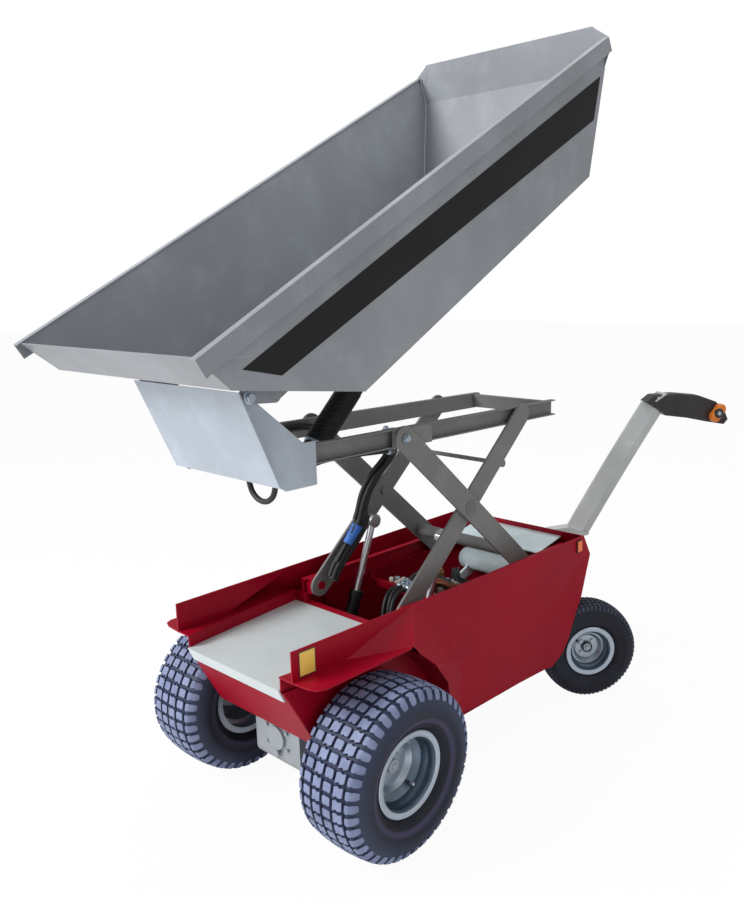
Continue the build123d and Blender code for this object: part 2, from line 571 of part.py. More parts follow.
# ---- steering: bracket on the chassis, axle beam with kingpin, tiller ----
bracket = side_cut([(867.5, 190), (885.5, 352), (975, 430), (KINGPIN_Y, 430), (KINGPIN_Y, 250), (1000, 200)],
                   -50, 50)
bracket += Pos(0, KINGPIN_Y, 340) * Cylinder(42, 190)
bracket -= Pos(0, KINGPIN_Y, 340) * Cylinder(20 + PIN_GAP, 300)
save("steering_bracket", bracket)

beam_x = REAR_TRACK_X - 30
beam = block(-beam_x + 50, beam_x - 50, -25, 25, REAR_TYRE_R - 25, REAR_TYRE_R + 25)
beam += Pos(0, 0, 331) * Cylinder(20, 281.5) + rod_x(0, REAR_TYRE_R, 18.9, -REAR_TRACK_X - 15, REAR_TRACK_X + 15)
save("rear_axle", STEERED * beam)

TILLER_W = 92                # across the tiller tube, whose sides are folded to a ridge
TILLER_T = 50
RIDGE_AT = 11
path = Plane.YZ * ThreePointArc((84, 496), (236, 751), (381, 982))
half_w = TILLER_W / 2
half_t = TILLER_T / 2
# across the tube: first away from its inner side, then across its thickness
tube_line = [(-half_w, -6), (RIDGE_AT, -half_t), (half_w, -8), (half_w, 8), (RIDGE_AT, half_t), (-half_w, 6)]
tube_plane = Plane(origin=path @ 0, x_dir=(path % 0).cross(Vector(1, 0, 0)), z_dir=path % 0)
tube = sweep(tube_plane * make_face(Polyline(*tube_line, close=True)), path=path)
foot = side_cut([(-35, 472), (60, 472), (122, 480), (128, 488), (44, 516), (-35, 509)], -half_t, half_t)
save("tiller_arm", STEERED * (tube + foot))

HEAD_X = 32                  # half width of the head
GRIP_Y, GRIP_Z = 640, 955    # throttle shaft
top_end = path @ 1 + SEAT_GAP * (path % 1)
square = (path % 1).cross(Vector(1, 0, 0)) * (half_w - 2)
head_line = [((top_end - square).Y, (top_end - square).Z), (376, 1030), (470, 1034), (566, 1024), (640, 998),
             (680, 962), (697, 925), (680, 905), (600, 919), (520, 936), (430, 948),
             ((top_end + square).Y, (top_end + square).Z)]
head = side_cut(head_line, -HEAD_X, HEAD_X)
sides = head.faces().sort_by(Axis.X)
head = fillet(sides[-1].edges() + sides[0].edges(), 7)
save("tiller_head", STEERED * head)

wing = Rot(0, 90, 0) * extrude(SlotOverall(78, 40), amount=14, both=True)
wing = chamfer(wing.faces().sort_by(Axis.X)[-1].edges() + wing.faces().sort_by(Axis.X)[0].edges(), 4)
wings = [Pos(side * (HEAD_X + 14.5), GRIP_Y, GRIP_Z) * Rot(-35, 0, 0) * wing for side in (-1, 1)]
save("throttle_butterfly", *[STEERED * shape for shape in wings])

# ---- hose loop under the carrier ----
hose_path = ThreePointArc((78, -199.5, 1010), (134, -199.5, 945), (190, -199.5, 1010))
hose = sweep(Plane(origin=hose_path @ 0, z_dir=hose_path % 0) * Circle(7), path=hose_path)
save("hose_loop", hose)
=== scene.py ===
"""Walk-behind site dumper: finishes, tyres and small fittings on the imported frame."""
import json
import math

import bmesh
import bpy
from mathutils import Euler, Matrix, Vector


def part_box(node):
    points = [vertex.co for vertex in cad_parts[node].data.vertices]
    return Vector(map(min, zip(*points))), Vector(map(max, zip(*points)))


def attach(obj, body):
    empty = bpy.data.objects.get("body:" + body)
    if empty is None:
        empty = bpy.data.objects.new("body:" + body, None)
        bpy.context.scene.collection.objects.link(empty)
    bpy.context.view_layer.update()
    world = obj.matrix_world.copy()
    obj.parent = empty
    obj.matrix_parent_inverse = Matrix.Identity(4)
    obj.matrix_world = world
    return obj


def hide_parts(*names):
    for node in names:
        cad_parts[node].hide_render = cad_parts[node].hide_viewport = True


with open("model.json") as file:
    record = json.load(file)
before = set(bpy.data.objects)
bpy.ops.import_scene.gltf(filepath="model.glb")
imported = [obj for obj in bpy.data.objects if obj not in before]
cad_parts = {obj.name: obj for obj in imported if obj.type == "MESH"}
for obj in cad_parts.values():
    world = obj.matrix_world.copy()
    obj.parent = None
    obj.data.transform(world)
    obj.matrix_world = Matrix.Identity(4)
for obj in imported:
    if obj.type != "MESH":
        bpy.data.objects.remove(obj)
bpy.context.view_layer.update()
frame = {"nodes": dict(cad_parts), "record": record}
NODES = frame["nodes"]


# ---------------------------------------------------------------- shader writing
class Value:
    """A shader socket on which plain arithmetic adds Math nodes."""

    def __init__(self, finish, socket):
        self.finish = finish
        self.socket = socket

    def math(self, operation, *others):
        return self.finish.node("ShaderNodeMath", [self, *others], operation=operation)

    def swapped(self, operation, other):
        return self.finish.node("ShaderNodeMath", [other, self], operation=operation)

    def __add__(self, other):
        return self.math("ADD", other)

    def __radd__(self, other):
        return self.swapped("ADD", other)

    def __sub__(self, other):
        return self.math("SUBTRACT", other)

    def __rsub__(self, other):
        return self.swapped("SUBTRACT", other)

    def __mul__(self, other):
        return self.math("MULTIPLY", other)

    def __rmul__(self, other):
        return self.swapped("MULTIPLY", other)

    def above(self, edge, soft=0.0001):
        """0 below the edge, 1 above it, over a soft step."""
        return self.finish.node("ShaderNodeMapRange", [self, edge - soft, edge + soft],
                                interpolation_type="SMOOTHSTEP")


class Finish:
    """One material, written from the object's own coordinates."""

    def __init__(self, name, **fixed):
        self.material = bpy.data.materials.new(name)
        self.material.use_nodes = True
        self.tree = self.material.node_tree
        self.shader = self.tree.nodes["Principled BSDF"]
        self.place = self.node("ShaderNodeTexCoord", out="Object")
        self.set(**fixed)

    def feed(self, socket, value):
        if isinstance(value, Value):
            self.tree.links.new(value.socket, socket)
        elif isinstance(value, tuple) and len(value) == 3 and socket.type == "RGBA":
            socket.default_value = (*value, 1)
        else:
            socket.default_value = value

    def node(self, kind, values=(), out=0, **settings):
        """Add a node: its settings first, then values or links by position or by name."""
        made = self.tree.nodes.new(kind)
        for key, setting in settings.items():
            setattr(made, key, setting)
        pairs = values.items() if isinstance(values, dict) else enumerate(values)
        for key, value in pairs:
            self.feed(made.inputs[key], value)
        return Value(self, made.outputs[out])

    def set(self, **values):
        for key, value in values.items():
            self.feed(self.shader.inputs[key.replace("_", " ").title().replace("Ior", "IOR")], value)

    def noise(self, scale, detail=2.0, rough=0.5, place=None):
        return self.node("ShaderNodeTexNoise", {"Vector": place or self.place, "Scale": scale,
                                                "Detail": detail, "Roughness": rough})

    def stretched(self, x, y, z):
        """The object's coordinates scaled along each axis, for a grain or brush direction."""
        return self.node("ShaderNodeMapping", {"Vector": self.place, "Scale": (x, y, z)})

    def blend(self, factor, low, high):
        """The low colour where the factor is 0 and the high one where it is 1."""
        return self.node("ShaderNodeMix", {0: factor, 6: low, 7: high}, out=2, data_type="RGBA")

    def bump(self, height, distance, strength=1.0):
        self.set(normal=self.node("ShaderNodeBump", {"Height": height, "Distance": distance,
                                                     "Strength": strength}))


def srgb(red, green, blue):
    """A colour given in 0-255 display values, as the shader wants it."""
    return tuple((c / 255 / 12.92) if c <= 10 else ((c / 255 + 0.055) / 1.055) ** 2.4
                 for c in (red, green, blue))


def shade(colour, factor):
    return tuple(c * factor for c in colour)


# ---------------------------------------------------------------- finishes
def paint(name, colour, roughness=0.38, coat=0.25, dust=0.25, dust_colour=None, grime=0.5, gloss=0.3):
    """Sprayed paint: slight tone drift, orange peel, dust and fine scratches."""
    finish = Finish(name, coat_weight=coat, coat_roughness=0.15, specular_ior_level=gloss)
    drift = finish.noise(2.3, 3)
    dusty = finish.noise(9, 6, 0.65)
    speck = finish.noise(140, 2)
    scratch = finish.noise(3, 4, 0.6, finish.stretched(22, 3, 60))
    tone = finish.blend(drift.above(0.5, 0.25), shade(colour, 0.90), shade(colour, 1.08))
    dust_mask = dusty.above(0.58, 0.14) * dust
    tone = finish.blend(dust_mask, tone, dust_colour or shade(colour, 1.5))
    line = scratch.above(0.665, 0.012) * grime
    tone = finish.blend(line * 0.35, tone, shade(colour, 1.7))
    finish.set(base_color=tone, roughness=roughness + dusty * 0.14 + line * 0.1)
    finish.bump(speck * 0.35 + line * -0.6, 0.0003, 0.35)
    return finish.material


def bare_metal(name, colour, roughness, grain=(1, 1, 1), streak=0.12, spangle=0.0, metallic=0.9):
    """Plated or brushed metal with a directional grain."""
    finish = Finish(name)
    brushed = finish.noise(30, 3, 0.6, finish.stretched(*grain))
    stain = finish.noise(7, 5, 0.6)
    tone = finish.blend(brushed, shade(colour, 1 - streak), shade(colour, 1 + streak))
    tone = finish.blend(stain.above(0.6, 0.15) * 0.3, tone, shade(colour, 0.75))
    if spangle:
        flake = finish.node("ShaderNodeTexVoronoi", {"Vector": finish.place, "Scale": 90})
        tone = finish.blend(flake * spangle, tone, shade(colour, 1.25))
    finish.set(base_color=tone, roughness=roughness + brushed * 0.12 + stain * 0.08,
               metallic=metallic)
    finish.bump(brushed, 0.0002, 0.25)
    return finish.material


def moulded(name, colour, roughness, grain=600):
    """Moulded plastic or rubber with a fine grain and handled patches."""
    finish = Finish(name)
    fine = finish.noise(grain, 2)
    patch = finish.noise(11, 4)
    tone = finish.blend(patch.above(0.52, 0.2), shade(colour, 0.85), shade(colour, 1.2))
    finish.set(base_color=tone, roughness=roughness + patch * 0.12)
    finish.bump(fine, 0.0002, 0.5)
    return finish.material


RED = srgb(156, 3, 34)
SCISSOR_GREY = srgb(122, 122, 121)
SKIP_GREY = srgb(144, 148, 154)
finishes = {
    "red_paint": paint("crimson_paint", RED, 0.42, 0.06, 0.12, shade(RED, 1.5), 0.3, 0.12),
    "scissor_paint": paint("lift_grey_paint", SCISSOR_GREY, 0.5, 0.05, 0.3, srgb(150, 150, 148), 0.6, 0.25),
    "skip_paint": paint("skip_grey_paint", SKIP_GREY, 0.40, 0.2, 0.3),
    "carrier_paint": paint("carrier_grey_paint", srgb(172, 182, 194), 0.4, 0.2),
    "deck_metal": bare_metal("deck_aluminium", srgb(212, 220, 221), 0.42, (30, 1, 30), 0.06, metallic=0.15),
    "zinc": bare_metal("zinc_plate", srgb(176, 188, 200), 0.26, (1, 1, 1), 0.10, 0.2),
    "tyre_rubber": moulded("tyre_rubber", srgb(40, 43, 54), 0.62, 300),
    "black_plastic": moulded("black_plastic", srgb(46, 42, 44), 0.30),
    "orange_plastic": moulded("orange_plastic", srgb(232, 128, 40), 0.35),
    "hose_rubber": moulded("hose_rubber", srgb(30, 31, 34), 0.5, 900),
    "chrome_rod": bare_metal("chrome_rod", srgb(220, 222, 226), 0.12, (1, 1, 1), 0.03),
    "black_paint": paint("black_paint", srgb(30, 30, 32), 0.4, 0.2),
    "cast_casing": bare_metal("cast_casing", srgb(176, 182, 188), 0.45, (1, 1, 1), 0.1),
    "tiller_paint": paint("tiller_silver_paint", srgb(186, 190, 190), 0.36, 0.3),
}


def tread_rubber():
    """Navy-black rubber, with a painted highlight on the tops of the blocks and on the shoulder, and a painted
    highlight line on the moulded ridge by the bead.
    """
    finish = Finish("tyre_tread_rubber", specular_ior_level=0.35)
    top = finish.node("ShaderNodeAttribute", out="Fac", attribute_name="top")
    reach = finish.node("ShaderNodeAttribute", out="Fac", attribute_name="reach")
    patch = finish.noise(14, 4)
    fine = finish.noise(420, 2)
    low = finish.blend(patch.above(0.5, 0.2), srgb(20, 23, 34), srgb(30, 35, 50))
    # painted highlight band on the rounded shoulder, and a painted highlight line on the moulded ridge by the
    # bead
    low = finish.blend(reach.above(0.78, 0.16) * 0.8, low, srgb(58, 68, 96))
    line = reach.above(0.60, 0.02) * (1 - reach.above(0.66, 0.02))
    low = finish.blend(line * 0.35, low, srgb(96, 90, 130))
    # painted highlight on the tops of the blocks, in two tones that change at random
    lit_block_tops = finish.blend(patch.above(0.5, 0.25), srgb(112, 122, 156), srgb(144, 156, 190))
    tone = finish.blend(top.above(0.72, 0.27) * (0.75 + fine * 0.4), low, lit_block_tops)
    finish.set(base_color=tone, roughness=0.5 + patch * 0.16)
    finish.bump(fine, 0.0003, 0.4)
    return finish.material


def glued_film(name, colour, edge, roughness=0.35):
    """Glued film with a faint ripple and paler flecks of wear."""
    finish = Finish(name, specular_ior_level=0.4)
    ripple = finish.noise(6, 3)
    fleck = finish.noise(90, 3, 0.7)
    tone = finish.blend(ripple.above(0.5, 0.3), shade(colour, 0.85), shade(colour, 1.2))
    tone = finish.blend(fleck.above(0.74, 0.03) * 0.5, tone, edge)
    finish.set(base_color=tone, roughness=roughness + ripple * 0.15)
    finish.bump(ripple, 0.0006, 0.25)
    return finish.material


def lens(name, colour):
    """Moulded reflector lens with small prisms behind its face."""
    finish = Finish(name, coat_weight=0.5, coat_roughness=0.1)
    cell = finish.node("ShaderNodeTexVoronoi", {"Vector": finish.place, "Scale": 420})
    tone = finish.blend(cell.above(0.35, 0.3), shade(colour, 0.75), shade(colour, 1.25))
    finish.set(base_color=tone, roughness=0.22 + cell * 0.2)
    finish.bump(cell, 0.0004, 0.4)
    return finish.material


def dress(node, material):
    """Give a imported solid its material."""
    NODES[node].data.materials.clear()
    NODES[node].data.materials.append(material)


TYRE = tread_rubber()
CAP = bare_metal("valve_cap_plate", srgb(190, 196, 205), 0.35, (1, 1, 1), 0.1)
# lit and shaded copies of the rim's zinc: a painted highlight on the rolled edge and painted shade in the
# pressed band
PAINTED_HIGHLIGHT_RIM = bare_metal("painted_highlight_rolled_rim", srgb(186, 198, 212), 0.2, (1, 1, 1), 0.08)
PAINTED_SHADE_RIM = bare_metal("painted_shade_rim_band", srgb(96, 112, 128), 0.3, (1, 1, 1), 0.12)
PIN_GREY = paint("pin_grey_paint", srgb(110, 108, 108), 0.4, 0.2)
STRIPE_FILM = glued_film("stripe_film", srgb(8, 7, 10), srgb(50, 52, 56), 0.55)
STICKER = glued_film("yellow_sticker", srgb(246, 206, 96), srgb(250, 225, 150), 0.4)
PALE_PAINT = paint("pale_pack_paint", srgb(206, 222, 226), 0.35, 0.2, 0.3)
BRASS = bare_metal("brass_plugs", srgb(196, 160, 110), 0.35, (1, 1, 1), 0.1)
RELAY = moulded("cream_relay_plastic", srgb(226, 216, 206), 0.4)
REFLECTOR = lens("amber_reflector", srgb(236, 110, 30))
COPPER = bare_metal("copper_brown_cable", srgb(150, 92, 66), 0.45, (1, 1, 1), 0.15, metallic=0.3)
TAPE = glued_film("blue_tape", srgb(58, 110, 190), srgb(140, 180, 230), 0.5)

for entry in frame["record"]["subparts"]:
    dress(entry["node"], finishes[entry["material_slot"]])
for pale_node in ("power_pack", "rear_cover"):
    dress(pale_node, PALE_PAINT)


def linked(name, data):
    """A new object at the origin, in the scene."""
    made = bpy.data.objects.new(name, data)
    bpy.context.scene.collection.objects.link(made)
    return made


# ---------------------------------------------------------------- camera
FRAME_WIDE, FRAME_HIGH = 743, 900
AXIS_ACROSS, AXIS_DOWN = 462.9, 455.2        # where the camera's axis meets the frame
FOCAL = 831.2
SENSOR = 36
CAMERA_PLACE = (1.7457, -2.0459, 1.4368)
VIEW_TURN, VIEW_DOWN, VIEW_ROLL = math.radians(39.772), math.radians(11.255), math.radians(0.31)


def place_camera():
    data = bpy.data.cameras.new("camera")
    camera = linked("camera", data)
    bpy.context.scene.camera = camera
    camera.location = CAMERA_PLACE
    turn = Euler((math.pi / 2 - VIEW_DOWN, 0, VIEW_TURN)).to_matrix()
    camera.rotation_euler = (turn @ Matrix.Rotation(-VIEW_ROLL, 3, "Z")).to_euler()
    data.sensor_fit = "VERTICAL"
    data.sensor_height = SENSOR
    data.lens = FOCAL / FRAME_HIGH * SENSOR
    data.shift_x = (FRAME_WIDE / 2 - AXIS_ACROSS) / FRAME_HIGH
    data.shift_y = (AXIS_DOWN - FRAME_HIGH / 2) / FRAME_HIGH


place_camera()

# ---------------------------------------------------------------- the tipping hose's free loop
LOOP_ROUTE = ((0.078, -0.8625, 1.010), (0.084, -0.8625, 0.968), (0.107, -0.8625, 0.945),
              (0.134, -0.8625, 0.938),
              (0.161, -0.8625, 0.945), (0.184, -0.8625, 0.968), (0.190, -0.8625, 1.010))
LOOP_RADIUS = 0.007


def hose_loop():
    """The hose that hangs in a loop under the carrier, on seven given points."""
    data = bpy.data.curves.new("hose_loop_rubber", "CURVE")
    data.dimensions = "3D"
    line = data.splines.new("NURBS")
    line.points.add(len(LOOP_ROUTE) - 1)
    for point, place in zip(line.points, LOOP_ROUTE):
        point.co = (*place, 1)
    line.order_u = 3
    line.use_endpoint_u = True
    data.bevel_depth = LOOP_RADIUS
    data.bevel_resolution = 6
    data.resolution_u = 16
    data.use_fill_caps = True
    made = linked("hose_loop_rubber", data)
    data.materials.append(finishes["hose_rubber"])
    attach(made, "top_frame")
    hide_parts("hose_loop")


hose_loop()

# ---------------------------------------------------------------- mesh writing
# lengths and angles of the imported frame, in mm from the front axle
AXLE_Y = -663
KINGPIN_Y = 1292
STEER = math.radians(-39)
TIP_PIN = (-283, 1206)
TIP = math.radians(30.5)
TIP_EYE = (634, -230)                # rod eye of the tip cylinder on the level skip, from its hinge
TIP_FOOT = (45, 984)
LIFT_FOOT = (285, 300)
LIFT_X = 150
FRONT_TRACK, FRONT_RADIUS = 334, 228.6
REAR_TRACK, REAR_RADIUS = 366, 173
SIDES = ((1, "left"), (-1, "right"))         # the sign of x and the name of each side


def here(x, y, z):
    """A place given in mm from the front axle, in the frame's metres."""
    return Vector((x, y + AXLE_Y, z)) / 1000


def steered(x, y, z):
    """A place on the rear axle and tiller, drawn straight ahead from the kingpin, as parked."""
    turned = Matrix.Rotation(STEER, 3, "Z") @ Vector((x, y, 0))
    return here(turned.x, turned.y + KINGPIN_Y, z)


def skip_place(x, y, z):
    """A place on the level skip, from its hinge, as parked."""
    low, high = TIP_PIN
    return here(x, low + y * math.cos(TIP) - z * math.sin(TIP),
                high + y * math.sin(TIP) + z * math.cos(TIP))


def smooth_path(points, steps=8):
    """A rounded line through the points of a mesh tube."""
    ends = [points[0], *points, points[-1]]
    path = []
    for a, b, c, d in zip(ends, ends[1:], ends[2:], ends[3:]):
        for step in range(steps):
            t = step / steps
            path.append(0.5 * ((2 * b) + (c - a) * t + (2 * a - 5 * b + 4 * c - d) * t ** 2
                               + (3 * b - a - 3 * c + d) * t ** 3))
    return [*path, points[-1]]


HEAD_HEIGHT = 0.62           # of a bolt's head, as a share of its size
HEAD_TURN = 0.3
CREASE = math.radians(35)    # edges sharper than this stay crisp


class Form:
    """A mesh gathered from turned profiles, tubes and prisms, in metres."""

    def __init__(self):
        self.mesh = bmesh.new()
        self.kind = 0

    def rings(self, loops, closed=False, caps=True):
        """Walls between loops of points, with caps at both ends or closed into a ring."""
        rows = [[self.mesh.verts.new(point) for point in loop] for loop in loops]
        if closed:
            rows.append(rows[0])
        for low, high in zip(rows, rows[1:]):
            for a, b, c, d in zip(low, low[1:] + low[:1], high[1:] + high[:1], high):
                self.mesh.faces.new((a, b, c, d)).material_index = self.kind
        if caps and not closed:
            self.mesh.faces.new(rows[0][::-1]).material_index = self.kind
            self.mesh.faces.new(rows[-1]).material_index = self.kind

    def turned(self, foot, direction, profile, sides=24, phase=0.0, caps=True, closed=False):
        """A profile of (along, radius) in mm turned about a line from foot."""
        axis = Vector(direction).normalized()
        across = axis.orthogonal().normalized()
        if abs(axis.x) > 0.99:
            across = Vector((0, 0, 1))
        side = axis.cross(across)
        loops = []
        for along, radius in profile:
            loops.append([foot + axis * along / 1000
                          + (across * math.cos(angle) + side * math.sin(angle)) * radius / 1000
                          for angle in (math.tau * k / sides + phase for k in range(sides))])
        self.rings(loops, closed, caps)

    def bolt(self, foot, direction, size):
        """Hexagon head with a chamfered top on a plain washer."""
        self.turned(foot, direction, [(-0.5, size * 1.45), (1.6, size * 1.45), (2.0, size * 1.35)], 24)
        seat = foot + Vector(direction).normalized() * 0.002
        tall = size * HEAD_HEIGHT * 1.3
        self.turned(seat, direction, [(-0.5, size * 1.08), (tall * 0.8, size * 1.08), (tall, size * 0.9)],
                    6, HEAD_TURN)

    def tube(self, points, radius, sides):
        """A round hose or seam through points, radius in mm."""
        path = smooth_path(points)
        loops = []
        side = None
        for index, point in enumerate(path):
            before = path[max(index - 1, 0)]
            after = path[min(index + 1, len(path) - 1)]
            run = (after - before).normalized()
            side = run.orthogonal() if side is None else side - run * side.dot(run)
            side = side.normalized()
            other = run.cross(side)
            loops.append([point + (side * math.cos(math.tau * k / sides)
                                   + other * math.sin(math.tau * k / sides)) * radius / 1000
                          for k in range(sides)])
        self.rings(loops)

    def prism(self, outline, height, inset=0.0):
        """A flat outline of points raised by a vector, its top drawn in by a share."""
        height = Vector(height)
        middle = sum(outline, Vector()) / len(outline)
        top = [point.lerp(middle, inset) + height for point in outline]
        self.rings([outline, top])

    def ring(self, profile, sides):
        """A closed section of (along, radius) in mm turned about the wheel's own axle."""
        self.turned(Vector(), (1, 0, 0), profile, sides, caps=False, closed=True)

    def collar(self, foot, direction, profile, sides):
        """A closed section turned about a rod, open for the rod to pass."""
        self.turned(foot, direction, profile, sides, caps=False, closed=True)

    def placed(self, place):
        """Move what was drawn in metres about the origin to its place on the part, given in mm."""
        for vert in self.mesh.verts:
            vert.co = place(*(1000 * value for value in vert.co))

    def object(self, name, body, slot, *materials):
        """Close the form as a piece on a body, its materials in the order of their kinds."""
        bmesh.ops.recalc_face_normals(self.mesh, faces=self.mesh.faces)
        mesh = bpy.data.meshes.new(name)
        self.mesh.to_mesh(mesh)
        self.mesh.free()
        for material in materials:
            mesh.materials.append(material)
        made = linked(name, mesh)
        mesh.set_sharp_from_angle(angle=CREASE)
        for face in mesh.polygons:
            face.use_smooth = True
        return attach(made, body)


# ---------------------------------------------------------------- tyres
# radius, width, tiles round it, depth of tread in mm; strength of the painted highlight on the blocks' tops and
# reach of the painted highlight on the shoulder
FRONT_TYRE = (FRONT_RADIUS, 216, 42, 8.0, 1, 1)
REAR_TYRE = (REAR_RADIUS, 126, 64, 3.0, 0.6, 0.55)
TYRE_SIDES = 112


def tread_ring():
    """Geometry nodes that repeat one tile of tread round the axle."""
    group = bpy.data.node_groups.new("tread_ring", "GeometryNodeTree")
    face = group.interface
    for name, kind in (("Tile", "Geometry"), ("Count", "Int"), ("Rubber", "Material")):
        face.new_socket(name=name, in_out="INPUT", socket_type="NodeSocket" + kind)
    face.new_socket(name="Ring", in_out="OUTPUT", socket_type="NodeSocketGeometry")
    made = {}
    kinds = (("given", "NodeGroupInput"), ("line", "GeometryNodeMeshLine"),
             ("index", "GeometryNodeInputIndex"),
             ("step", "ShaderNodeMath"), ("angle", "ShaderNodeMath"), ("turn", "ShaderNodeCombineXYZ"),
             ("copies", "GeometryNodeInstanceOnPoints"), ("real", "GeometryNodeRealizeInstances"),
             ("rubber", "GeometryNodeSetMaterial"), ("result", "NodeGroupOutput"))
    for name, kind in kinds:
        made[name] = group.nodes.new(kind)
    made["line"].inputs["Offset"].default_value = (0, 0, 0)
    made["step"].operation = "DIVIDE"
    made["step"].inputs[0].default_value = math.tau
    made["angle"].operation = "MULTIPLY"
    wires = (("given", "Count", "line", "Count"), ("given", "Count", "step", 1),
             ("index", "Index", "angle", 0), ("step", 0, "angle", 1), ("angle", 0, "turn", "X"),
             ("line", "Mesh", "copies", "Points"), ("given", "Tile", "copies", "Instance"),
             ("turn", 0, "copies", "Rotation"), ("copies", 0, "real", 0), ("real", 0, "rubber", 0),
             ("given", "Rubber", "rubber", "Material"), ("rubber", 0, "result", 0))
    for source, output, target, socket in wires:
        group.links.new(made[source].outputs[output], made[target].inputs[socket])
    return group


RING = tread_ring()


TREAD_EDGE = 0.4             # half width of the flat of the tread, as a share of the tyre's width
CROWN_FALL = 7               # from the middle of the tread to that edge
TREAD_INSIDE = 0.3           # the blocks stay this far inside the tyre's nominal radius


def crown(radius, width, x):
    """Radius of the tread at x: a shallow crown that turns down at the shoulders."""
    edge = TREAD_EDGE * width
    past = max(abs(x) - edge, 0)
    fall = CROWN_FALL * min(abs(x) / edge, 1) ** 2
    shoulder = (0.55 * past + 0.075 * past ** 2) * FRONT_TYRE[1] / width
    return radius - TREAD_INSIDE - fall - shoulder


def tread_tile(radius, width, depth, pale, blocks):
    """One pitch of tread at the top of the wheel; blocks are outlines of (x, along) in mm."""
    tile = bmesh.new()
    # each vertex's share of the painted highlight on the blocks' tops
    raised = tile.verts.layers.float.new("top")

    def at(x, along, drop):
        height = crown(radius, width, x) - drop
        angle = along / radius
        return (x / 1000, height * math.sin(angle) / 1000, height * math.cos(angle) / 1000)

    for outline in blocks:
        middle_x = sum(x for x, along in outline) / len(outline)
        middle = sum(along for x, along in outline) / len(outline)
        loops = []
        # full painted highlight on the block's top, less at its upper edge, none at its foot
        for inset, drop, top in ((-0.07, depth + 1.5, 0), (0.0, 1.4, 0.45 * pale), (0.08, 0.0, pale)):
            loop = [tile.verts.new(at(x + (middle_x - x) * inset, along + (middle - along) * inset, drop))
                    for x, along in outline]
            for vert in loop:
                vert[raised] = top
            loops.append(loop)
        for low, high in zip(loops, loops[1:]):
            for a, b, c, d in zip(low, low[1:] + low[:1], high[1:] + high[:1], high):
                tile.faces.new((a, b, c, d))
        peak = tile.verts.new(at(middle_x, middle, 0))
        peak[raised] = pale
        for a, b in zip(loops[-1], loops[-1][1:] + loops[-1][:1]):
            tile.faces.new((a, b, peak))
    bmesh.ops.recalc_face_normals(tile, faces=tile.faces)
    mesh = bpy.data.meshes.new("tile")
    tile.to_mesh(mesh)
    tile.free()
    return mesh


def square(x, wide, long, corner=3.5):
    """A square block with cut corners and a notch in its leading side."""
    return [(x - wide, -long + corner), (x - wide + corner, -long), (x - 3, -long), (x, -long + 3),
            (x + 3, -long), (x + wide - corner, -long), (x + wide, -long + corner), (x + wide, long - corner),
            (x + wide - corner, long), (x, long), (x - wide + corner, long), (x - wide, long - corner)]


def chevron(x, wide, long, lead=6):
    """A zigzag block whose middle leads its sides."""
    return [(x - wide, -long - lead / 2), (x - 3, -long + lead / 2), (x + 3, -long - lead / 4),
            (x + wide, -long + lead / 2), (x + wide, long + lead / 2 - 2), (x + 3, long - lead / 2),
            (x - 3, long + lead / 2 - 2), (x - wide, long - lead / 2)]


FRONT_BLOCKS = [square(88.5, 12.5, 11.5), chevron(54, 15, 13.5), square(18, 13.5, 12),
                chevron(-18, 14.5, 13.5), square(-54, 13.5, 12), square(-88.5, 12.5, 11.5)]
REAR_BLOCKS = [square(x, 7, 6, 2) for x in (-50, -33, -11, 11, 33, 50)]
# sidewalls (x, radius) from the crown to the bead, in mm
FRONT_WALL = [(0, 220.6), (40, 219.4), (70, 216), (86, 212.5), (95, 205), (101.5, 194), (104.8, 184),
              (106.4, 178), (107.6, 172), (107.8, 167), (106.6, 160), (105.2, 156),
              (105.0, 153.6), (104.6, 150.6), (102.6, 148.6), (100.4, 142.6), (97.4, 137), (98.4, 134.6),
              (97.0, 131.6), (91.6, 127), (84, 120.6), (78.4, 116.2), (77.6, 102.2)]
REAR_WALL = [(0, 170), (25, 169), (44, 165.6), (53, 160.4), (58, 153), (61, 144), (61.8, 140), (62.8, 138.6),
             (62.9, 131.5), (61.6, 129.5), (61.4, 123), (60.2, 120.4), (58.6, 111), (55.2, 103), (50, 96.6),
             (46, 92.6), (45.2, 78.6)]


def tyre(name, body, sizes, rows, wall, place, side):
    """A carcass turned from its sidewall, with the tread's tiles round it, in place of the plain solid."""
    radius, width, count, depth, pale, shoulder = sizes
    holder = linked("tile_holder", tread_tile(radius, width, depth, pale, rows))
    repeat = holder.modifiers.new("ring", "NODES")
    repeat.node_group = RING
    socket = {item.name: item.identifier for item in RING.interface.items_tree if item.in_out == "INPUT"}
    repeat[socket["Count"]] = count
    repeat[socket["Rubber"]] = TYRE
    bpy.context.view_layer.update()
    ring = bpy.data.meshes.new_from_object(holder.evaluated_get(bpy.context.evaluated_depsgraph_get()))
    holder.modifiers.remove(repeat)
    bpy.data.objects.remove(holder)
    form = Form()
    form.mesh.from_mesh(ring)
    form.ring(wall + [(-x, r) for x, r in reversed(wall) if x], TYRE_SIDES)
    # the reach places the painted highlight band on the shoulder and the painted highlight line by the bead
    reach = form.mesh.verts.layers.float.new("reach")
    for vert in form.mesh.verts:
        vert[reach] = 1000 * math.hypot(vert.co.y, vert.co.z) / radius * shoulder
    form.placed(lambda x, y, z: place(side)(side * x, y, z))
    made = form.object(name, body, "tyre_rubber", TYRE)
    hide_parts(name.replace("dressed_", ""))


def front_place(side):
    """Places on a front wheel, from its middle, in mm."""
    return lambda x, y, z: here(FRONT_TRACK * side + x, y, z + FRONT_RADIUS)


def rear_place(side):
    """Places on a rear wheel, from its middle, in mm."""
    return lambda x, y, z: steered(REAR_TRACK * side + x, y, z + REAR_RADIUS)


